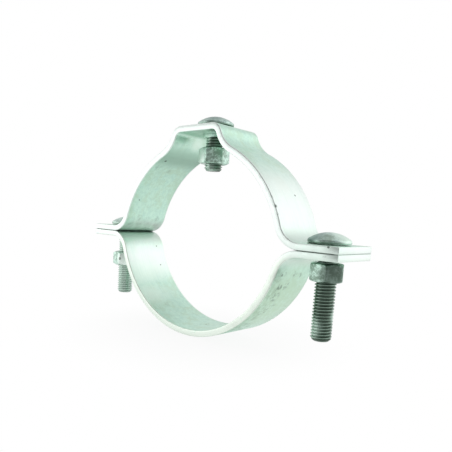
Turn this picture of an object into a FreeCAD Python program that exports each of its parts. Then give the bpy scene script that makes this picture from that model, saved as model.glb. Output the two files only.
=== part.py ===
# Two-piece strap clamp for a round pole: two bent steel strips, cup-head square-neck bolts and hex nuts.
# Millimetres. X runs along the flanges, Y along the pole and Z up towards the pad.
# The origin is on the plane where the flanges meet, at the middle of the strips' width.
import FreeCAD, Part
import math
import os

Vector = FreeCAD.Vector
ORIGIN = Vector(0, 0, 0)
ALONG_X = Vector(1, 0, 0)
ALONG_Y = Vector(0, 1, 0)
ALONG_Z = Vector(0, 0, 1)
RIGHT_ANGLE = math.pi / 2
HALF_TURN = math.pi
FULL_TURN_DEGREES = 360
HEX_SIDES = 6
PARALLEL = 1e-6             # largest cross product of two directions that count as one

# Pole and strips
pole_diameter = 139.7
closing_travel = 19.5        # gap between the flanges round the pole, closed up here
strip_width = 38.0
strip_thickness = 4.0
edge_break = 0.6             # eased edges and corners all round each strip
flange_bend_radius = 13.0    # inside of the bend between arc and flange
bolt_from_bend = 7.9         # from the start of the flat flange to the bolt's axis
bolt_from_tip = 16.0         # from the bolt's axis to the flange's end

# Raised pad of the upper strip
pad_rise = 8.5               # pad's inner face above the crown of the arc
pad_width = 33.4             # between the inner corners, before they are rounded
pad_wall_angle = math.radians(66)
pad_corner_radius = 4.0      # inner skin, at the top of the wall
pad_wall_length = 1.0        # straight stretch of the wall, between its two bends

# Cup-head bolts with a square neck
thread_diameter = 12.0
end_chamfer = 1.5
neck_length = 7.5
neck_corner_diameter = 15.4  # across the rounded corners of the square neck
hole_clearance = 0.5         # on each side of the square neck
head_diameter = 24.0
head_height = 6.0
head_rim = 1.8               # straight edge below the dome
head_clearance = 0.05        # between the head and the bend it stands on
flange_bolt_length = 55.0
pad_bolt_length = 29.0
pad_head_standoff = 1.5      # the pad bolt isn't drawn fully home

# Hex nuts
nut_across_flats = 17.8
nut_height = 10.4
nut_chamfer_angle = math.radians(30)
nut_bearing_diameter = 16.6  # flat ring left on each face
thread_clearance = 0.08
right_nut_gap = 2.3          # from the lower flange down to each nut
left_nut_gap = 13.4
pad_thread_past_nut = 4.5
right_nut_turn = -3.5        # degrees from +X to a corner
left_nut_turn = -7.6
pad_nut_turn = -17.2

# Places that follow from the sizes above
arc_radius = pole_diameter / 2
arc_centre = Vector(0, 0, -closing_travel / 2)
bend_height = strip_thickness + flange_bend_radius
bend_reach = arc_radius + strip_thickness + flange_bend_radius
flat_start = math.sqrt(bend_reach ** 2 - (bend_height - arc_centre.z) ** 2)
bend_centre = Vector(flat_start, 0, bend_height)
bend_turn = math.atan2(bend_height - arc_centre.z, flat_start)
bolt_x = flat_start + bolt_from_bend
tip_x = bolt_x + bolt_from_tip
pad_inside = arc_centre.z + arc_radius + pad_rise
pad_outside = pad_inside + strip_thickness

# A head wider than the flat beside the bolt stands on the bend, a little above the flange
head_overhang = max(head_diameter / 2 - bolt_from_bend, 0)
head_lift = flange_bend_radius - math.sqrt(flange_bend_radius ** 2 - head_overhang ** 2)
flange_head_seat = strip_thickness + head_lift + head_clearance
pad_head_seat = pad_outside + pad_head_standoff
pad_nut_top = pad_head_seat - pad_bolt_length + pad_thread_past_nut + nut_height


def polar(centre, radius, angle):
    return centre + Vector(radius * math.cos(angle), 0, radius * math.sin(angle))


def arc(centre, radius, start, end):
    middle = (start + end) / 2
    return Part.Arc(*(polar(centre, radius, angle) for angle in (start, middle, end))).toShape()


def flange_edges(offset):
    """The flat flange and the bend up to the arc, on the skin this far out from the inner one."""
    flat = Part.makeLine(Vector(tip_x, 0, offset), Vector(flat_start, 0, offset))
    bend_radius = bend_height - offset
    return [flat, arc(bend_centre, bend_radius, -RIGHT_ANGLE, bend_turn - HALF_TURN)]


def pad_edges(offset):
    """One side of the raised middle, from the flange's bend to the pad's corner, and the pad's flat."""
    wall_angle = RIGHT_ANGLE - pad_wall_angle
    wall_out = polar(ORIGIN, 1, wall_angle)
    wall_down = polar(ORIGIN, 1, -pad_wall_angle)
    corner_x = pad_width / 2 - pad_corner_radius * math.tan(pad_wall_angle / 2)
    corner = Vector(corner_x, 0, pad_inside - pad_corner_radius)
    wall_foot = corner + wall_out * pad_corner_radius + wall_down * pad_wall_length

    # The bend at the wall's foot touches the wall's end and the arc, which sets its reach to the inner skin
    from_arc = wall_foot - arc_centre
    foot_reach = (from_arc.dot(from_arc) - arc_radius ** 2) / (2 * (arc_radius - from_arc.dot(wall_out)))
    foot = wall_foot + wall_out * foot_reach
    foot_angle = math.atan2(foot.z - arc_centre.z, foot.x)

    side = [
        arc(arc_centre, arc_radius + offset, bend_turn, foot_angle),
        arc(foot, foot_reach - offset, foot_angle - HALF_TURN, wall_angle - HALF_TURN),
        Part.makeLine(wall_foot + wall_out * offset, polar(corner, pad_corner_radius + offset, wall_angle)),
        arc(corner, pad_corner_radius + offset, wall_angle, RIGHT_ANGLE),
    ]
    height = pad_inside + offset
    return side, Part.makeLine(Vector(corner_x, 0, height), Vector(-corner_x, 0, height))


def skin(offset, raised):
    side = flange_edges(offset)
    if raised:
        pad_side, middle = pad_edges(offset)
        side += pad_side
    else:
        middle = arc(arc_centre, arc_radius + offset, bend_turn, HALF_TURN - bend_turn)
    return side + [middle] + [edge.mirror(ORIGIN, ALONG_X) for edge in side]


def straight_along(edge, direction):
    return isinstance(edge.Curve, Part.Line) and edge.Curve.Direction.cross(direction).Length < PARALLEL


def is_sheared(edge):
    """True for the edges where a strip was cut, without the seams between its bends."""
    at_tip = abs(edge.CenterOfMass.x) > tip_x - edge_break
    return at_tip or not straight_along(edge, ALONG_Y)


def square_hole(x):
    side = thread_diameter + 2 * hole_clearance
    reach = pad_outside + strip_thickness
    return Part.makeBox(side, side, reach, Vector(x - side / 2, -side / 2, 0))


def strap(raised, hole_places):
    """One bent strip with its square holes, arching up from the plane of the flanges."""
    tips = [Part.makeLine(Vector(x, 0, 0), Vector(x, 0, strip_thickness)) for x in (tip_x, -tip_x)]
    edges = skin(0, raised) + skin(strip_thickness, raised) + tips
    outline = Part.Wire(Part.__sortEdges__(edges))
    outline.translate(ALONG_Y * (-strip_width / 2))
    strip = Part.Face(outline).extrude(ALONG_Y * strip_width)
    strip = strip.makeChamfer(edge_break, [edge for edge in strip.Edges if is_sheared(edge)])
    return strip.cut([square_hole(x) for x in hole_places])


def turned(edges):
    """A solid of revolution about Z from an outline in the XZ plane."""
    outline = Part.Wire(Part.__sortEdges__(edges))
    return Part.Face(outline).revolve(ORIGIN, ALONG_Z, FULL_TURN_DEGREES)


def polyline(points):
    return [Part.makeLine(start, end) for start, end in zip(points, points[1:])]


def in_section(*radius_and_height):
    return [Vector(radius, 0, height) for radius, height in radius_and_height]


def square_neck():
    """The neck below the head, a square with rounded corners."""
    side = thread_diameter
    block = Part.makeBox(side, side, neck_length, Vector(-side / 2, -side / 2, -neck_length))
    corners = Part.makeCylinder(neck_corner_diameter / 2, neck_length, -ALONG_Z * neck_length)
    return block.common(corners)


def cup_head():
    """A short cylinder under a shallow dome, with its underside at Z = 0."""
    head = head_diameter / 2
    dome_rise = head_height - head_rim
    dome_radius = (head ** 2 + dome_rise ** 2) / (2 * dome_rise)
    dome_centre = Vector(0, 0, head_height - dome_radius)
    dome = Part.makeSphere(dome_radius, dome_centre, -ALONG_Y)
    return Part.makeCylinder(head, 2 * head_height).common(dome)


def cup_head_bolt(length):
    """A bolt with the underside of its head at Z = 0 and its shank pointing down."""
    shank = thread_diameter / 2
    shank_section = in_section((0, 0), (0, -length), (shank - end_chamfer, -length),
                               (shank, end_chamfer - length), (shank, 0), (0, 0))
    return cup_head().fuse([square_neck(), turned(polyline(shank_section))]).removeSplitter()


def hex_nut(turn):
    """A nut with its top face at Z = 0, chamfered on both faces, a corner this many degrees from +X."""
    corner = nut_across_flats / 2 / math.cos(HALF_TURN / HEX_SIDES)
    start = math.radians(turn)
    angles = [start + 2 * HALF_TURN * step / HEX_SIDES for step in range(HEX_SIDES + 1)]
    hexagon = [Vector(corner * math.cos(angle), corner * math.sin(angle), -nut_height) for angle in angles]
    prism = Part.Face(Part.makePolygon(hexagon)).extrude(ALONG_Z * nut_height)
    bearing = nut_bearing_diameter / 2
    chamfer = (corner - bearing) * math.tan(nut_chamfer_angle)
    bore = thread_diameter / 2 + thread_clearance
    ring = in_section((bore, 0), (bearing, 0), (corner, -chamfer), (corner, chamfer - nut_height),
                      (bearing, -nut_height), (bore, -nut_height), (bore, 0))
    return prism.common(turned(polyline(ring)))


def placed(shape, x, z):
    shape.translate(Vector(x, 0, z))
    return shape


nodes = {
    "upper_strap": strap(True, (bolt_x, -bolt_x, 0)),
    "lower_strap": strap(False, (bolt_x, -bolt_x)).mirror(ORIGIN, ALONG_Z),
    "pad_bolt": placed(cup_head_bolt(pad_bolt_length), 0, pad_head_seat),
    "pad_nut": placed(hex_nut(pad_nut_turn), 0, pad_nut_top),
}
flange_fixings = {
    "right": (bolt_x, right_nut_gap, right_nut_turn),
    "left": (-bolt_x, left_nut_gap, left_nut_turn),
}
for side, (x, nut_gap, nut_turn) in flange_fixings.items():
    nodes[side + "_flange_bolt"] = placed(cup_head_bolt(flange_bolt_length), x, flange_head_seat)
    nodes[side + "_flange_nut"] = placed(hex_nut(nut_turn), x, -strip_thickness - nut_gap)

os.makedirs("parts", exist_ok=True)
for name, shape in nodes.items():
    print(name, "valid" if shape.isValid() else "not valid", f"{shape.Volume:.0f}", shape.BoundBox)
    shape.exportStep(f"parts/{name}.step")
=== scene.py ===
import bmesh
import bpy
import math
from mathutils import Matrix, Vector


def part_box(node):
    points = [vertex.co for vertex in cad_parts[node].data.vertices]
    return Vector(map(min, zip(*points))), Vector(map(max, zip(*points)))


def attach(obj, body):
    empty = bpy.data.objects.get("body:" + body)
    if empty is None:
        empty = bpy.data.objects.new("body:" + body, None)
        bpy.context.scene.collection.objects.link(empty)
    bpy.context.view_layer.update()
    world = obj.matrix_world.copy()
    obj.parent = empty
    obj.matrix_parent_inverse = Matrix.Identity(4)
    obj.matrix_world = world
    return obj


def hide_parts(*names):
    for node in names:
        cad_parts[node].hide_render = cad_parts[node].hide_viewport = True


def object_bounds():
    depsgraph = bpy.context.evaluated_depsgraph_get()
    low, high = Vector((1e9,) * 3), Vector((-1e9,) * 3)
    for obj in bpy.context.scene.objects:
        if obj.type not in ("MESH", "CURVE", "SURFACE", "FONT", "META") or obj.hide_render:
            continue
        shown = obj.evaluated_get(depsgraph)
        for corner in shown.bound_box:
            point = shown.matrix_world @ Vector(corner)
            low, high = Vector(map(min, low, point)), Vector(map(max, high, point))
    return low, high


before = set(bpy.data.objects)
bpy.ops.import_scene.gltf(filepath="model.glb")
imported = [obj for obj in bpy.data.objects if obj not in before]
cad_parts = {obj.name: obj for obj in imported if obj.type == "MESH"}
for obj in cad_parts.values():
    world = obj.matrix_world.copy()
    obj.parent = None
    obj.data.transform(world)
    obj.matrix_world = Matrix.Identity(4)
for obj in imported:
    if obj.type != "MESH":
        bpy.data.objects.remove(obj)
cadLow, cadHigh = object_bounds()
mm = 0.001
fullTurn = 2 * math.pi
weld = 0.0005 * mm                     # corners closer than this are one
print("frame loaded with", len(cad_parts), "nodes")


# Modelling by hand

def startPiece(add, name, stretch=(1, 1, 1), **settings):   # one primitive at its size, in edit mode
    bpy.ops.object.select_all(action="DESELECT")
    add(**settings)
    piece = bpy.context.object
    piece.name = name
    piece.scale = stretch
    bpy.ops.object.transform_apply(location=True, rotation=True, scale=True)
    bpy.ops.object.mode_set(mode="EDIT")
    bpy.ops.mesh.select_mode(type="VERT")
    bpy.ops.mesh.select_all(action="SELECT")
    return piece


def selectOnly(piece):
    bpy.ops.object.select_all(action="DESELECT")
    piece.select_set(True)
    bpy.context.view_layer.objects.active = piece


def pick(piece, kind, wanted):                   # selects the faces or edges whose corners pass a test
    bpy.ops.mesh.select_mode(type="FACE" if kind == "faces" else "EDGE")
    bpy.ops.mesh.select_all(action="DESELECT")
    mesh = bmesh.from_edit_mesh(piece.data)
    for part in getattr(mesh, kind):
        if wanted([corner.co for corner in part.verts]):
            part.select_set(True)
    bmesh.update_edit_mesh(piece.data)


def extrudeBy(x, y, z):
    bpy.ops.mesh.extrude_region_move(TRANSFORM_OT_translate={"value": (x, y, z)})


def closeSkin():                                 # one skin, facing outwards, and back to object mode
    bpy.ops.mesh.select_all(action="SELECT")
    bpy.ops.mesh.remove_doubles(threshold=weld)
    bpy.ops.mesh.normals_make_consistent(inside=False)
    bpy.ops.object.mode_set(mode="OBJECT")


def drawLine(name, points):                      # a plane drawn together to one corner, then pulled along
    piece = startPiece(bpy.ops.mesh.primitive_plane_add, name)
    bpy.ops.mesh.merge(type="CENTER")
    bpy.ops.transform.translate(value=points[0])
    for start, end in zip(points, points[1:]):
        extrudeBy(*(end - start))
    bpy.ops.mesh.select_all(action="SELECT")
    return piece


def turnOnLathe(name, outline, steps):           # outline of radius and height, spun round Z
    piece = drawLine(name, [Vector((radius, 0, height)) for radius, height in outline])
    bpy.ops.mesh.spin(steps=steps, angle=fullTurn, center=(0, 0, 0), axis=(0, 0, 1))
    closeSkin()
    return piece


def finishWith(piece, kind, **settings):         # one modifier, applied at once
    change = piece.modifiers.new(kind.lower(), kind)
    for name, value in settings.items():
        setattr(change, name, value)
    bpy.context.view_layer.objects.active = piece
    bpy.ops.object.modifier_apply(modifier=change.name)


def combine(piece, other, operation):
    finishWith(piece, "BOOLEAN", object=other, operation=operation, solver="EXACT")
    bpy.data.objects.remove(other)


def moveTo(piece, place):
    piece.location = place
    selectOnly(piece)
    bpy.ops.object.transform_apply(location=True, rotation=True, scale=True)


def handOver(piece, node, finish, smoothAngle):   # finish, shading and the node that it stands for
    selectOnly(piece)
    bpy.ops.object.shade_smooth_by_angle(angle=smoothAngle)
    piece.data.materials.clear()
    piece.data.materials.append(finish)
    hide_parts(node)
    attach(piece, "root")
    print("made", piece.name, "with", len(piece.data.polygons), "faces")


# Shader maths on sockets

class Shade:
    def __init__(self, tree, socket):
        self.tree = tree
        self.socket = socket

    def node(self, kind, settings, values, out=0):          # any node: its settings first, then its sockets
        made = self.tree.nodes.new("ShaderNode" + kind)
        for name, setting in settings.items():
            setattr(made, name, setting)
        for name, value in values.items():
            if isinstance(value, Shade):
                self.tree.links.new(value.socket, made.inputs[name])
            else:
                made.inputs[name].default_value = value
        return Shade(self.tree, made.outputs[out])

    def maths(self, operation, first, second):
        return self.node("Math", {"operation": operation}, {0: first, 1: second})

    def __add__(self, other):
        return self.maths("ADD", self, other)

    def __radd__(self, other):
        return self.maths("ADD", other, self)

    def __sub__(self, other):
        return self.maths("SUBTRACT", self, other)

    def __rsub__(self, other):
        return self.maths("SUBTRACT", other, self)

    def __mul__(self, other):
        return self.maths("MULTIPLY", self, other)

    def __rmul__(self, other):
        return self.maths("MULTIPLY", other, self)

    def larger(self, other):
        return self.maths("MAXIMUM", self, other)

    def between(self, low, high, lowValue=0.0, highValue=1.0):      # eased from lowValue to highValue
        return self.node("MapRange", {"interpolation_type": "SMOOTHSTEP"},
                         {0: self, 1: low, 2: high, 3: lowValue, 4: highValue})

    def mixed(self, first, second):                          # this mask takes first over to second
        return self.node("Mix", {"data_type": "RGBA"}, {0: self, 6: first, 7: second}, out=2)

    def noise(self, size, detail=2.0, rough=0.5):            # on a position: mottling of about that size
        return self.node("TexNoise", {}, {"Vector": self, "Scale": 1 / size, "Detail": detail,
                                          "Roughness": rough})

    def axis(self, name):                                    # on a position: one coordinate
        return self.node("SeparateXYZ", {}, {0: self}, out=name)

    def across(self, name):                                  # and how far from the middle on that axis
        return self.maths("ABSOLUTE", self.axis(name), 0.0)

    def spot(self, centre, reach, soft):                     # on a position: 1 at the centre, 0 past its reach
        away = self.node("VectorMath", {"operation": "DISTANCE"}, {0: self, 1: centre}, out=1)
        return away.between(reach * (1 - soft), reach, 1.0, 0.0)


def newFinish(name):
    finish = bpy.data.materials.new(name)
    finish.use_nodes = True
    tree = finish.node_tree
    surface = tree.nodes["Principled BSDF"]
    coordinates = tree.nodes.new("ShaderNodeTexCoord")
    return finish, surface, Shade(tree, coordinates.outputs["Object"])


# Zinc finishes

zinc = {
    "cloudSize": 10 * mm,
    "cloudDetail": 3.0,
    "cloudEdges": (0.4, 0.6),                    # from the cool to the warm tint
    "mottleSize": 3 * mm,
    "mottleDetail": 4.0,
    "grainSize": 0.8 * mm,
    "grainDetail": 3.0,
    "fine": 0.6,                                 # roughness of the mottle's and the grain's noise
    "mottleShare": 0.45,                         # in the pattern of the patches
    "cloudShare": 0.25,
    "grainShare": 0.3,
    "bumpDepth": 0.04 * mm,
    "bumpStrength": 0.25,
    "bumpGrain": 0.5,                            # beside the mottle's 1
    # dark colour of dirt, and of painted shade in the seam, the nicks and smudges and on the right nut
    "grimeAndShade": (0.07, 0.10, 0.08, 1),
}


def zincCoat(place, coat):                               # cloudy tints, broken by a finer mottle
    cloud = place.noise(zinc["cloudSize"], zinc["cloudDetail"])
    mottle = place.noise(zinc["mottleSize"], zinc["mottleDetail"], zinc["fine"])
    grain = place.noise(zinc["grainSize"], zinc["grainDetail"], zinc["fine"])
    tint = cloud.between(*zinc["cloudEdges"]).mixed(coat["cool"], coat["warm"])
    patch = mottle * zinc["mottleShare"] + cloud * zinc["cloudShare"] + grain * zinc["grainShare"]
    patch = patch.between(0.5 - coat["contrast"], 0.5 + coat["contrast"])
    return patch.mixed(coat["mint"], tint), mottle


def allMarks(place, patch):                              # one mask of several spots: x, y, z and reach in mm
    mask = None
    for x, y, z, reach in patch["marks"]:
        spot = place.spot((x * mm, y * mm, z * mm), reach * mm, patch["soft"])
        mask = mask.larger(spot) if mask else spot
    return mask * patch["strength"]


def brokenMarks(place, patch, pattern):                  # the same, broken up by a pattern
    return allMarks(place, patch) * pattern.between(*patch["breaks"])


def joinZinc(surface, place, coat, colour, mottle, extraRough=0.0):     # with the coat's fine unevenness
    grain = place.noise(zinc["grainSize"])
    bump = place.node("Bump", {}, {"Strength": zinc["bumpStrength"], "Distance": zinc["bumpDepth"],
                                   "Height": grain * zinc["bumpGrain"] + mottle})
    rough = coat["rough"] + coat["roughSwing"] * (mottle - 0.5) + extraRough
    for name, value in {"Base Color": colour, "Roughness": rough, "Normal": bump}.items():
        surface.id_data.links.new(value.socket, surface.inputs[name])
    surface.inputs["Metallic"].default_value = coat["metallic"]


strapCoat = {
    "mint": (0.66, 0.92, 0.78, 1),
    "cool": (0.55, 0.81, 0.70, 1),
    "warm": (0.58, 0.80, 0.64, 1),
    # pale and bright are colours of painted highlights, bright also of painted glints
    "pale": (0.90, 0.96, 0.93, 1),
    "bright": (0.80, 0.98, 0.87, 1),
    "olive": (0.57, 0.78, 0.60, 1),
    # colour of painted shade, under the pad here and on the bolt heads
    "paintedShade": (0.41, 0.62, 0.50, 1),
    "grey": (0.70, 0.80, 0.74, 1),
    "edgeHighlight": (0.86, 0.94, 0.90, 1),            # painted highlight on the cut edges
    "edgeHighlightLow": (0.88, 0.97, 0.88, 1),         # and on those of the lower half
    "contrast": 0.1,
    "rough": 0.33,
    "roughSwing": 0.16,
    "dirtAndShadeRough": 0.25,
    "metallic": 0.9,
    "streakAcross": 0.8 * mm,
    "streakAlong": 26 * mm,
    "streakEdges": (0.5, 0.75, 0.0, 0.5),        # edges are low and high, then the values there
    "streakOnPale": 0.45,
    "wideAcross": 0.2,                           # draws the wide patches out over the strip's width
    "shearedEdges": (18.0 * mm, 18.5 * mm),      # from the middle of the strip
    "tipEdges": (105.9 * mm, 106.3 * mm),
    "shearedMottle": (0.25, 0.45, 0.55, 1.0),
    "halfEdges": (-8 * mm, 0.0),                 # from the lower half to the upper
    "seamEdges": (0.15 * mm, 0.55 * mm, 0.65, 0.0),
    "seamTips": (103 * mm, 106 * mm, 1.0, 0.2),
    "chipSize": 2.4 * mm,                        # of what breaks up the nicks and scuffs
    "chipDetail": 3.0,
    # pale and bright patches: painted highlights where the light is brightest
    "paleHighlights": {"soft": 0.8, "strength": 0.85,
                    "marks": [(-62.0, 0.0, -21.0, 22.0), (63.0, 0.0, 25.0, 39.0)]},
    "brightHighlights": {"soft": 0.8, "strength": 0.95,
                      "marks": [(-57.0, -9.0, -31.0, 16.0), (-45.0, -9.0, -44.0, 16.0)]},
    "greyBends": {"soft": 0.6, "strength": 0.75,
                  "marks": [(-74.0, 0.0, 0.0, 14.0), (74.0, 0.0, 0.0, 14.0)]},
    # painted shade in the pad's recess and under the pad
    "shadePatches": {"soft": 0.7, "strength": 0.9,
                    "marks": [(-29.0, 0.0, 53.5, 15.0), (-10.0, 0.0, 66.0, 8.5), (-1.0, 0.0, 66.0, 8.5)]},
    "olivePatches": {"soft": 0.7, "strength": 1.0, "breaks": (0.3, 0.6, 0.5, 1.0),
                     "marks": [(60.0, -2.0, -33.0, 36.0)]},
    # less of the painted edge highlight on the right flange's front
    "dimmerEdges": {"soft": 0.6, "strength": 0.22, "marks": [(92.0, -19.0, 0.0, 26.0)]},
    "specks": {"soft": 0.4, "strength": 0.75,
               "marks": [(61.9, 5.9, 30.6, 0.8), (-33.9, -12.5, 51.3, 1.1), (-60.5, 11.2, -25.1, 0.7),
                         (-66.7, 11.4, -10.9, 0.6), (100.6, -19.0, 3.6, 0.9), (-61.2, -12.3, 24.0, 0.6)]},
    # nicks in the front edge, painted dark with their shade
    "nicksAndShade": {"soft": 0.8, "strength": 0.7, "breaks": (0.44, 0.66),
              "marks": [(63.4, -18.6, 28.2, 1.3), (66.0, -18.6, 23.3, 1.6), (67.6, -18.6, 19.0, 1.0),
                        (76.0, -18.6, 6.6, 1.5), (60.6, -18.7, -32.4, 1.0), (58.2, -18.7, -35.8, 0.9)]},
    "scuffs": {"soft": 0.8, "strength": 0.55, "breaks": (0.44, 0.66),
               "marks": [(66.6, -3.5, -22.2, 4.4), (65.8, -8.8, -23.8, 5.0), (62.5, -7.5, -29.6, 5.6),
                         (63.5, -14.2, -28.0, 5.0), (57.4, -3.6, -36.7, 5.0), (55.0, -8.2, -39.5, 5.4),
                         (69.5, -10.9, -15.1, 4.4), (69.1, 7.1, -16.4, 3.2), (69.5, 1.2, -15.2, 3.2),
                         (99.0, -19.0, -2.2, 1.8), (-2.7, 0.2, -60.0, 1.1), (-1.6, 1.8, -60.0, 1.3),
                         (-0.7, 3.2, -60.1, 1.4), (0.0, 5.2, -60.1, 1.2)]},
    # dirt smudges, and painted shade by the lower strap's front edge and where it turns under
    "smudgesAndShade": {"soft": 0.9, "strength": 0.22, "breaks": (0.35, 0.65),
                "marks": [(-66.8, -6.5, 10.6, 3.6), (-67.2, 0.8, 9.3, 3.8), (-66.9, 10.7, 10.4, 3.4),
                          (-40.2, -13.8, 47.4, 3.8), (-43.1, -1.5, 45.2, 3.8), (-34.7, -3.6, -50.8, 3.6),
                          (42.0, -12.0, -51.0, 11.0), (36.0, -4.0, -55.0, 10.0), (64.0, -13.0, -27.0, 8.0),
                          (57.0, -13.0, -37.0, 9.0), (50.0, -12.0, -45.0, 9.0), (69.0, -15.0, -17.0, 7.0)]},
    # darker across the left bend
    "bendDarkening": {"soft": 0.9, "strength": 0.28, "breaks": (0.3, 0.7, 0.5, 1.0),
                  "marks": [(-71.0, -13.0, 4.0, 6.5), (-71.0, -5.0, 4.0, 6.5), (-71.0, 4.0, 4.0, 6.5),
                            (-71.0, 13.0, 4.0, 6.5)]},
    # bright flecks: painted glints on the lower strap, and a lighter patch at the pad's left wall
    "flecks": {"soft": 0.8, "strength": 0.8,
               "marks": [(-41.0, -15.2, -46.8, 1.0), (-27.1, -6.4, -54.6, 0.8), (-26.5, -2.9, -54.9, 0.8),
                         (-17.5, 3.0, 63.0, 8.0)]},
}


def finishStraps():
    finish, surface, place = newFinish("strapZinc")
    colour, mottle = zincCoat(place, strapCoat)
    along = 1 / strapCoat["streakAlong"]
    drawn = place.node("Mapping", {}, {"Scale": (along, 1 / strapCoat["streakAcross"], along), "Vector": place})
    streak = drawn.noise(1.0).between(*strapCoat["streakEdges"])
    colour = streak.mixed(colour, strapCoat["cool"])

    # Painted highlights, grey at the bends and painted shade under the pad, right across the strip, with the
    # streaks again over the lightest
    wide = place.node("Mapping", {}, {"Scale": (1.0, strapCoat["wideAcross"], 1.0), "Vector": place})
    colour = allMarks(wide, strapCoat["paleHighlights"]).mixed(colour, strapCoat["pale"])
    colour = allMarks(wide, strapCoat["brightHighlights"]).mixed(colour, strapCoat["bright"])
    colour = (streak * strapCoat["streakOnPale"]).mixed(colour, strapCoat["cool"])
    colour = allMarks(wide, strapCoat["greyBends"]).mixed(colour, strapCoat["grey"])
    colour = allMarks(wide, strapCoat["shadePatches"]).mixed(colour, strapCoat["paintedShade"])
    colour = brokenMarks(place, strapCoat["olivePatches"], mottle).mixed(colour, strapCoat["olive"])

    # Painted highlight on the cut edges along the strip and at its tips
    litCutEdges = place.across("Y").between(*strapCoat["shearedEdges"])
    litCutEdges = litCutEdges.larger(place.across("X").between(*strapCoat["tipEdges"]))
    litCutEdges = litCutEdges * mottle.between(*strapCoat["shearedMottle"]) * (1 - allMarks(place, strapCoat["dimmerEdges"]))
    half = place.axis("Z").between(*strapCoat["halfEdges"])
    colour = litCutEdges.mixed(colour, half.mixed(strapCoat["edgeHighlightLow"], strapCoat["edgeHighlight"]))

    # Dirt, and painted shade in the seam between the halves, which ends before the tips
    dirtAndShade = allMarks(place, strapCoat["specks"])
    chips = place.noise(strapCoat["chipSize"], strapCoat["chipDetail"])
    for name, pattern in {"nicksAndShade": chips, "scuffs": chips, "smudgesAndShade": mottle, "bendDarkening": mottle}.items():
        dirtAndShade = dirtAndShade.larger(brokenMarks(place, strapCoat[name], pattern))
    # painted shade in the seam between the halves
    seam = place.across("Z").between(*strapCoat["seamEdges"])
    dirtAndShade = dirtAndShade.larger(seam * place.across("X").between(*strapCoat["seamTips"]))
    colour = dirtAndShade.mixed(colour, zinc["grimeAndShade"])
    # bright flecks: painted glints, and a lighter patch at the pad's wall
    colour = allMarks(place, strapCoat["flecks"]).mixed(colour, strapCoat["bright"])
    joinZinc(surface, place, strapCoat, colour, mottle, dirtAndShade * strapCoat["dirtAndShadeRough"])
    return finish


nutCoat = {
    "mint": (0.68, 0.90, 0.79, 1),
    "cool": (0.40, 0.55, 0.48, 1),
    "warm": (0.28, 0.40, 0.32, 1),
    # colour of painted highlights on the nuts' lit faces
    "cleanAndHighlight": (0.89, 0.99, 0.93, 1),
    "contrast": 0.07,
    "rough": 0.36,
    "roughSwing": 0.3,
    "metallic": 0.85,
    # painted highlights on the lit faces of the pad nut and the left nut
    "highlightSides": {"soft": 0.5, "strength": 1.0,
                   "marks": [(-8.0, -5.0, 54.8, 11.0), (-83.0, -6.0, -22.6, 9.0)]},
    # painted shade on the right side of the right nut, and a small dark spot on the left nut
    "shadeAndSpot": {"soft": 0.5, "strength": 0.75,
                   "marks": [(97.5, -6.0, -11.5, 9.5), (-86.6, -9.6, -22.5, 1.5)]},
}


def finishNuts():
    finish, surface, place = newFinish("nutZinc")
    colour, mottle = zincCoat(place, nutCoat)
    # painted highlights on the lit faces
    colour = allMarks(place, nutCoat["highlightSides"]).mixed(colour, nutCoat["cleanAndHighlight"])
    # painted shade on the right nut's right side, and a small dark spot
    colour = allMarks(place, nutCoat["shadeAndSpot"]).mixed(colour, zinc["grimeAndShade"])
    joinZinc(surface, place, nutCoat, colour, mottle)
    return finish


boltCoat = {
    "mint": (0.66, 0.84, 0.77, 1),
    "cool": (0.36, 0.50, 0.47, 1),
    "warm": (0.40, 0.52, 0.44, 1),
    # paler colour of clean zinc, and of painted highlights
    "cleanAndHighlight": (0.80, 0.97, 0.87, 1),
    "paintedShade": (0.23, 0.34, 0.31, 1),
    "crest": (0.30, 0.41, 0.34, 1),              # the thread is darker than the head
    # colour of painted shade in the thread's root
    "root": (0.09, 0.13, 0.10, 1),
    "contrast": 0.09,
    "rough": 0.34,
    "roughSwing": 0.25,
    "metallic": 0.88,
    "footGroove": 0.45,                          # the groove attribute is 0 on the head, and this at its foot, which is darker
    "crestGroove": 0.5,                          # and it runs from here to 1 at the thread's root
    "leftUse": (-80 * mm, -60 * mm, 0.1, 1.0),   # the left bolt is cleaner than the others
    "headUse": (0.0, 4 * mm, 0.0, 0.75),         # but its head, above the flanges, is not
    "leastRoot": 0.28,                           # painted shade in the root of a clean thread
    # painted shade on the left of the right bolt's head and on top of the pad bolt's head
    "shadedSides": {"soft": 0.8, "strength": 0.9, "marks": [(82.0, -8.0, 8.0, 15.0), (2.0, -4.0, 80.0, 11.0)]},
    "usedSides": {"soft": 0.9, "strength": 0.2, "marks": [(-84.5, 1.0, -46.0, 16.0)]},
    # painted highlights on the pad bolt's end and neck, the right bolt's lower thread and head, and the pad bolt
    # head's rim
    "highlightSides": {"soft": 0.6, "strength": 0.8,
                   "marks": [(0.0, -4.0, 46.0, 7.0), (-3.0, -6.0, 66.0, 6.0), (87.0, -6.0, -43.0, 9.0),
                             (94.0, 3.0, -36.0, 6.0), (100.0, 0.0, 8.5, 9.0), (-11.0, -3.0, 75.5, 5.0)]},
}


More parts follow.
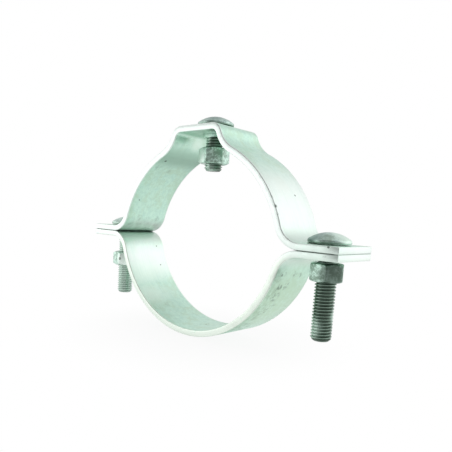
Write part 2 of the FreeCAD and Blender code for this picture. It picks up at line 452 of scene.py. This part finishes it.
def finishBolts():
    finish, surface, place = newFinish("boltZinc")
    colour, mottle = zincCoat(place, boltCoat)
    # painted shade on the heads
    colour = allMarks(place, boltCoat["shadedSides"]).mixed(colour, boltCoat["paintedShade"])
    usedUnlessLit = place.axis("X").between(*boltCoat["leftUse"]).larger(place.axis("Z").between(*boltCoat["headUse"]))
    # used, except where highlights are painted on lit sides
    usedUnlessLit = usedUnlessLit.larger(allMarks(place, boltCoat["usedSides"])) * (1 - allMarks(place, boltCoat["highlightSides"]))
    # paler where the bolt is clean, and painted highlights on lit sides
    colour = (1 - usedUnlessLit).mixed(colour, boltCoat["cleanAndHighlight"])
    groove = place.node("Attribute", {"attribute_name": "groove"}, {}, out="Fac")
    colour = (usedUnlessLit * groove.between(0.0, boltCoat["crestGroove"])).mixed(colour, boltCoat["crest"])
    # painted shade in the thread's root, deeper where the bolt is used
    dark = boltCoat["leastRoot"] + (1 - boltCoat["leastRoot"]) * usedUnlessLit
    colour = (dark * groove.between(boltCoat["crestGroove"], 1.0)).mixed(colour, boltCoat["root"])
    joinZinc(surface, place, boltCoat, colour, mottle)
    return finish


strapZinc = finishStraps()
nutZinc = finishNuts()
boltZinc = finishBolts()
print("zinc finishes made")


# Straps

strap = {
    "thickness": 4 * mm,
    "poleRadius": 69.85 * mm,
    "bendRadius": 13 * mm,                       # on the outer skin
    "holeWidth": 13 * mm,
    "padRise": 8.5 * mm,                         # pad's inner face above the crown of the arc
    "padWidth": 33.4 * mm,                       # between the inner corners before rounding
    "padCornerRadius": 4 * mm,
    "padWallLength": 1 * mm,
    "padWallAngle": math.radians(66),
    "edge": 0.5 * mm,                            # rounding of the sheared edges
    "edgeSteps": 3,
    "edgeLimit": math.radians(50),
    "chord": 1.5 * mm,                           # longest straight bit of a bend
    "fewestChords": 6,
    "smooth": math.radians(40),
}
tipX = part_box("upper_strap")[1].x
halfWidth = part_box("upper_strap")[1].y
boltX = sum(corner.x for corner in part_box("right_flange_bolt")) / 2
arcCentreZ = strap["poleRadius"] + strap["thickness"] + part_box("lower_strap")[0].z    # below the split plane
bendHeight = strap["thickness"] + strap["bendRadius"]
bendReach = strap["poleRadius"] + bendHeight
flatStart = math.sqrt(bendReach ** 2 - (bendHeight + arcCentreZ) ** 2)
bendTurn = math.atan2(bendHeight + arcCentreZ, flatStart)


def bendRound(centreX, centreZ, radius, angle):          # spins the open end round a line along Y
    steps = max(strap["fewestChords"], math.ceil(abs(angle) * radius / strap["chord"]))
    bpy.ops.mesh.spin(steps=steps, angle=angle, center=(centreX, 0, centreZ), axis=(0, 1, 0))


def bendFlange(name, up):                # flange and first bend of one half, up or down, to the arc's start
    holeNear = boltX + strap["holeWidth"] / 2
    piece = startPiece(bpy.ops.mesh.primitive_plane_add, name, (tipX - holeNear, 2 * halfWidth, 1),
                       size=1, location=((tipX + holeNear) / 2, 0, 0))
    for side in (1, -1):                 # the hole's sides run on as lines along the strip
        bpy.ops.mesh.select_all(action="SELECT")
        bpy.ops.mesh.bisect(plane_co=(0, side * strap["holeWidth"] / 2, 0), plane_no=(0, 1, 0))
    pick(piece, "edges", lambda corners: all(corner.x < holeNear + weld for corner in corners))
    extrudeBy(-strap["holeWidth"], 0, 0)
    extrudeBy(flatStart - holeNear + strap["holeWidth"], 0, 0)
    bendRound(flatStart, up * bendHeight, bendHeight, up * (bendTurn - math.pi / 2))
    return piece


def raisePad():                          # from the arc's start over the pad's wall to the middle of the pad
    outward = math.pi / 2 - strap["padWallAngle"]
    wallOut = Vector((math.cos(outward), 0, math.sin(outward)))
    wallDown = Vector((wallOut.z, 0, -wallOut.x))
    padZ = strap["poleRadius"] - arcCentreZ + strap["padRise"]
    cornerX = strap["padWidth"] / 2 - strap["padCornerRadius"] * math.tan(strap["padWallAngle"] / 2)
    corner = Vector((cornerX, 0, padZ - strap["padCornerRadius"]))
    wallFoot = corner + wallOut * strap["padCornerRadius"] + wallDown * strap["padWallLength"]
    fromArc = wallFoot + Vector((0, 0, arcCentreZ))
    spare = 2 * (strap["poleRadius"] - fromArc.dot(wallOut))
    footReach = (fromArc.length_squared - strap["poleRadius"] ** 2) / spare
    foot = wallFoot + wallOut * footReach
    footTurn = math.atan2(foot.z + arcCentreZ, foot.x)
    bendRound(0, -arcCentreZ, strap["poleRadius"], footTurn - bendTurn)
    bendRound(foot.x, foot.z, footReach, outward - footTurn)
    extrudeBy(*(-wallDown * strap["padWallLength"]))
    bendRound(corner.x, corner.z, strap["padCornerRadius"], math.pi / 2 - outward)
    extrudeBy(strap["holeWidth"] / 2 - cornerX, 0, 0)
    extrudeBy(-strap["holeWidth"] / 2, 0, 0)


def finishStrap(piece, up, holes, node):
    reach = strap["holeWidth"] / 2 + weld
    pick(piece, "faces", lambda corners: any(
        all(abs(corner.x - hole) < reach and abs(corner.y) < reach for corner in corners) for hole in holes))
    bpy.ops.mesh.delete(type="FACE")
    closeSkin()
    finishWith(piece, "MIRROR", use_clip=True, merge_threshold=weld)
    tip = max(piece.data.polygons, key=lambda face: face.center.x)
    if tip.normal.z * up < 0:            # the strip thickens away from the pole
        piece.data.flip_normals()
    finishWith(piece, "SOLIDIFY", thickness=strap["thickness"], offset=1, use_even_offset=True)
    finishWith(piece, "BEVEL", width=strap["edge"], segments=strap["edgeSteps"], limit_method="ANGLE",
               angle_limit=strap["edgeLimit"])
    finishWith(piece, "WEIGHTED_NORMAL", keep_sharp=True)
    handOver(piece, node, strapZinc, strap["smooth"])


upperStrap = bendFlange("strap.upper", 1)
raisePad()
finishStrap(upperStrap, 1, (boltX, 0), "upper_strap")

lowerStrap = bendFlange("strap.lower", -1)
bendRound(0, arcCentreZ, strap["poleRadius"], bendTurn - math.pi / 2)
finishStrap(lowerStrap, -1, (boltX,), "lower_strap")
print("straps bent")


# Bolts

bolt = {
    "headHeight": 6 * mm,
    "headRim": 1.8 * mm,
    "headEdge": 0.45 * mm,
    "headEdgeSteps": 3,
    "headEdgeLimit": math.radians(30),
    "domeSteps": 20,
    "turnSteps": 72,
    "neckWidth": 12 * mm,
    "neckLength": 7.5 * mm,
    "neckCorner": 1.7 * mm,
    "neckCornerSteps": 4,
    "pitch": 1.75 * mm,
    "crestRadius": 5.92 * mm,
    "threadDepth": 0.85 * mm,                    # the zinc fills it a little
    "crestShare": 0.24,                          # of the pitch
    "rootShare": 0.26,
    "threadSteps": 40,
    "spareTurns": 2,                             # cut off again at each end
    "blankSpare": 0.1 * mm,                      # of the blank that gives the chamfer, past the crest
    "endChamfer": 1.6 * mm,
    "overlap": 0.8 * mm,                         # thread into neck and neck into head
    "smooth": math.radians(35),
}


def turnHead(name, radius):                      # underside at Z = 0
    rise = bolt["headHeight"] - bolt["headRim"]
    domeRadius = (radius ** 2 + rise ** 2) / (2 * rise)
    domeCentre = bolt["headHeight"] - domeRadius
    edgeAngle = math.asin(radius / domeRadius)
    angles = [edgeAngle * (1 - step / bolt["domeSteps"]) for step in range(bolt["domeSteps"] + 1)]
    dome = [(domeRadius * math.sin(angle), domeCentre + domeRadius * math.cos(angle)) for angle in angles]
    head = turnOnLathe(name, [(0, 0), (radius, 0)] + dome, bolt["turnSteps"])
    finishWith(head, "BEVEL", width=bolt["headEdge"], segments=bolt["headEdgeSteps"], limit_method="ANGLE",
               angle_limit=bolt["headEdgeLimit"])
    return head


def squareNeck(name):
    top = bolt["overlap"]
    length = bolt["neckLength"] + top
    neck = startPiece(bpy.ops.mesh.primitive_cube_add, name, (bolt["neckWidth"], bolt["neckWidth"], length),
                      size=1, location=(0, 0, top - length / 2))
    pick(neck, "edges", lambda corners: abs(corners[0].z - corners[1].z) > length / 2)
    bpy.ops.mesh.bevel(offset=bolt["neckCorner"], segments=bolt["neckCornerSteps"])
    closeSkin()
    return neck


def cutThread(name, bottom, top):                # a helical ridge, closed and chamfered at its end
    pitch = bolt["pitch"]
    crest = bolt["crestRadius"]
    root = crest - bolt["threadDepth"]
    crestHalf = bolt["crestShare"] / 2
    rootHalf = bolt["rootShare"] / 2
    shares = [(root, 0), (root, rootHalf), (crest, 0.5 - crestHalf), (crest, 0.5 + crestHalf),
              (root, 1 - rootHalf), (root, 1)]
    start = bottom - bolt["spareTurns"] * pitch
    ridge = drawLine(name, [Vector((radius, 0, start + share * pitch)) for radius, share in shares])
    bpy.ops.object.mode_set(mode="OBJECT")
    turns = math.ceil((top - bottom) / pitch) + 2 * bolt["spareTurns"]
    finishWith(ridge, "SCREW", angle=fullTurn, screw_offset=pitch, iterations=turns,
               steps=bolt["threadSteps"], render_steps=bolt["threadSteps"], use_normal_calculate=True)
    bpy.ops.object.mode_set(mode="EDIT")
    bpy.ops.mesh.select_all(action="SELECT")
    bpy.ops.mesh.remove_doubles(threshold=weld)
    for height, upward in ((bottom, -1), (top, 1)):
        bpy.ops.mesh.select_all(action="SELECT")
        bpy.ops.mesh.bisect(plane_co=(0, 0, height), plane_no=(0, 0, upward), use_fill=True, clear_outer=True)
    closeSkin()
    chamfer = bolt["endChamfer"]
    outside = crest + bolt["blankSpare"]
    blank = turnOnLathe(name + ".blank", [(0, bottom), (outside - chamfer, bottom), (outside, bottom + chamfer),
                                          (outside, top + pitch), (0, top + pitch)], bolt["turnSteps"])
    combine(ridge, blank, "INTERSECT")
    return ridge


def markGrooves(piece):                          # how deep in the thread each corner lies, for the finish
    crest = boltCoat["crestGroove"]
    groove = piece.data.attributes.new("groove", "FLOAT", "POINT")
    for point, value in zip(piece.data.vertices, groove.data):
        if point.co.z < -bolt["neckLength"]:
            depth = (bolt["crestRadius"] - point.co.xy.length) / bolt["threadDepth"]
            value.value = crest + (1 - crest) * min(max(depth, 0), 1)
        elif 0 <= point.co.z < bolt["headRim"] - bolt["headEdge"]:
            value.value = boltCoat["footGroove"]


def makeBolt(name, node):
    low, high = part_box(node)
    axis = (low + high) / 2
    seat = high.z - bolt["headHeight"]
    piece = turnHead(name, (high.x - low.x) / 2)
    combine(piece, squareNeck(name + ".neck"), "UNION")
    combine(piece, cutThread(name + ".thread", low.z - seat, bolt["overlap"] - bolt["neckLength"]), "UNION")
    markGrooves(piece)
    moveTo(piece, (axis.x, axis.y, seat))
    handOver(piece, node, boltZinc, bolt["smooth"])


for side in ("right_flange", "left_flange", "pad"):
    makeBolt("bolt." + side, side + "_bolt")
print("bolts turned and threaded")


# Nuts

nut = {
    "sides": 6,
    "acrossFlats": 17.8 * mm,
    "bearing": 16.6 * mm,                        # flat ring left on each face
    "chamferAngle": math.radians(30),
    "bore": 6.08 * mm,
    "leadIn": 0.6 * mm,
    "edge": 0.3 * mm,
    "edgeSteps": 2,
    "edgeLimit": math.radians(40),
    "past": 1 * mm,                              # the cutting tools reach out of the nut by this
    "turnSteps": 72,
    "smooth": math.radians(35),
}


def makeNut(name, node):
    low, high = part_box(node)
    axis = (low + high) / 2
    height = high.z - low.z
    corner = nut["acrossFlats"] / 2 / math.cos(math.pi / nut["sides"])
    farthest = max((point.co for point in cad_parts[node].data.vertices),
                   key=lambda point: (point - axis).xy.length)
    turn = math.atan2(farthest.y - axis.y, farthest.x - axis.x) - math.pi / 2
    piece = startPiece(bpy.ops.mesh.primitive_cylinder_add, name, vertices=nut["sides"], radius=corner,
                       depth=height, rotation=(0, 0, turn))
    closeSkin()
    top = height / 2
    bearing = nut["bearing"] / 2
    outside = corner + nut["past"]
    slope = (outside - bearing) * math.tan(nut["chamferAngle"])
    blank = turnOnLathe(name + ".blank", [(0, -top), (bearing, -top), (outside, slope - top),
                                          (outside, top - slope), (bearing, top), (0, top)], nut["turnSteps"])
    combine(piece, blank, "INTERSECT")
    mouth = nut["bore"] + nut["leadIn"] + nut["past"]
    past = top + nut["past"]
    drill = turnOnLathe(name + ".drill", [(0, -past), (mouth, -past), (nut["bore"], nut["leadIn"] - top),
                                          (nut["bore"], top - nut["leadIn"]), (mouth, past), (0, past)],
                        nut["turnSteps"])
    combine(piece, drill, "DIFFERENCE")
    finishWith(piece, "BEVEL", width=nut["edge"], segments=nut["edgeSteps"], limit_method="ANGLE",
               angle_limit=nut["edgeLimit"])
    finishWith(piece, "WEIGHTED_NORMAL", keep_sharp=True)
    moveTo(piece, axis)
    handOver(piece, node, nutZinc, nut["smooth"])


for side in ("right_flange", "left_flange", "pad"):
    makeNut("nut." + side, side + "_nut")
print("nuts cut")


# Studio

white = (1, 1, 1, 1)
studio = {
    "floorDrop": 0.2 * mm,
    "floorSize": 0.8,                            # the room's white carries on past its edge
    "floorColour": (0.84, 0.88, 0.86, 1),
    "floorRough": 0.9,
    "floorWhite": (0.05, 0.13, 0.9, 1.0),        # share of plain white, so that the shadow fades out
    "mirroredX": (-0.14, 0.03, 0.0, 0.9),        # the same as the metal shows it, darker to the left
    "mirroredY": (-0.04, 0.02, 0.2, 1.0),
    "mirroredAway": (0.03, 0.1, 0.5, 1.0),
    "litX": (0.04, 0.09, 0.9, 0.0),              # and below the soft box
    "litY": (-0.024, -0.012, 1.0, 0.0),
    "depth": (-0.15, 0.45, 0.27, 1.0),           # brightness of the room from front to back
    "lift": 0.4,                                 # what is high counts as farther back
    "width": (-0.45, 0.45, 0.84, 1.25),          # from left to right
    "height": (0.5, 0.85, 1.0, 0.7),             # and up to straight overhead
    "facing": ((0.68, -0.73, 0.0), 0.6, 0.9),    # a pale place round the camera
    "facingLight": 0.5,
    "highLeft": ((-0.70, -0.30, 0.65), 0.6, 0.7),    # shows in the upper corners of the front edges
    "highLeftLight": 1.1,
}
leftBox = {
    "place": (-0.759, -0.572, 0.0),
    "width": 1.28,
    "height": 0.7,
    "power": 3.4,
}


def buildFloor():
    floor = startPiece(bpy.ops.mesh.primitive_plane_add, "floor", size=studio["floorSize"],
                       location=(0, 0, cadLow.z - studio["floorDrop"]))
    bpy.ops.object.mode_set(mode="OBJECT")
    finish, surface, place = newFinish("paleFloor")
    surface.inputs["Base Color"].default_value = studio["floorColour"]
    surface.inputs["Roughness"].default_value = studio["floorRough"]
    away = place.node("VectorMath", {"operation": "LENGTH"}, {0: place}, out=1)
    x = place.axis("X")
    y = place.axis("Y")
    # Metal sees the floor glow white as far as mirrored says: a painted reflection, darker to the left, with
    # painted shadow near the object, and lighter below the soft box
    mirrored = x.between(*studio["mirroredX"]) * y.between(*studio["mirroredY"])
    mirrored = mirrored * away.between(*studio["mirroredAway"])
    mirrored = mirrored.larger(x.between(*studio["litX"]) * y.between(*studio["litY"]))
    camera, glossy, transmitted = (place.node("LightPath", {}, {}, out=f"Is {kind} Ray")
                                   for kind in ("Camera", "Glossy", "Transmission"))
    share = away.between(*studio["floorWhite"]) * camera.larger(transmitted) + glossy * mirrored
    glow = place.node("Emission", {}, {"Color": white, "Strength": 1.0})
    tree = finish.node_tree
    seen = place.node("MixShader", {}, {0: share, 1: Shade(tree, surface.outputs[0]), 2: glow})
    tree.links.new(seen.socket, tree.nodes["Material Output"].inputs["Surface"])
    floor.data.materials.append(finish)


def buildWorld():                                # white behind the object, darker to the left, dark in front
    world = bpy.data.worlds.new("studio")
    bpy.context.scene.world = world
    world.use_nodes = True
    tree = world.node_tree
    coordinates = tree.nodes.new("ShaderNodeTexCoord")
    direction = Shade(tree, coordinates.outputs["Generated"])
    depth = direction.axis("Y") + direction.axis("Z") * studio["lift"]
    room = depth.between(*studio["depth"]) * direction.axis("X").between(*studio["width"])
    room = room * direction.axis("Z").between(*studio["height"])
    room = room.larger(direction.spot(*studio["facing"]) * studio["facingLight"])
    room = room.larger(direction.spot(*studio["highLeft"]) * studio["highLeftLight"])
    room = room.larger(direction.node("LightPath", {}, {}, out="Is Camera Ray"))
    background = tree.nodes["Background"]
    tree.links.new(room.socket, background.inputs["Strength"])
    background.inputs["Color"].default_value = white


def lightBox():                                  # a soft box that faces the object
    lamp = bpy.data.lights.new("leftBox", "AREA")
    lamp.shape = "RECTANGLE"
    lamp.size = leftBox["width"]
    lamp.size_y = leftBox["height"]
    lamp.energy = leftBox["power"]
    box = bpy.data.objects.new("leftBox", lamp)
    bpy.context.scene.collection.objects.link(box)
    box.location = leftBox["place"]
    box.rotation_euler = (-box.location).to_track_quat("-Z", "Y").to_euler()


buildFloor()
buildWorld()
lightBox()
print("studio lit")


# Camera

camera = {
    "place": Vector((223.47, -241.55, 16.38)) * mm,
    "azimuth": math.radians(43.552),
    "elevation": math.radians(7.548),
    "roll": math.radians(3.427),
    "lens": 38.419,
    "sensor": 36.0,
    "shift": (26 / 452, 52 / 452),               # in widths: the picture is cut from a larger one
    "nearest": 10 * mm,
}


def setCamera():
    lens = bpy.data.cameras.new("camera")
    lens.lens = camera["lens"]
    lens.sensor_width = camera["sensor"]
    lens.shift_x, lens.shift_y = camera["shift"]
    lens.clip_start = camera["nearest"]
    seer = bpy.data.objects.new("camera", lens)
    bpy.context.scene.collection.objects.link(seer)
    turn = Matrix.Rotation(camera["azimuth"], 4, "Z")
    tilt = Matrix.Rotation(math.pi / 2 - camera["elevation"], 4, "X")
    roll = Matrix.Rotation(camera["roll"], 4, "Z")
    seer.matrix_world = Matrix.Translation(camera["place"]) @ turn @ tilt @ roll
    bpy.context.scene.camera = seer


setCamera()
bpy.context.scene.view_settings.view_transform = "Standard"
print("camera set")
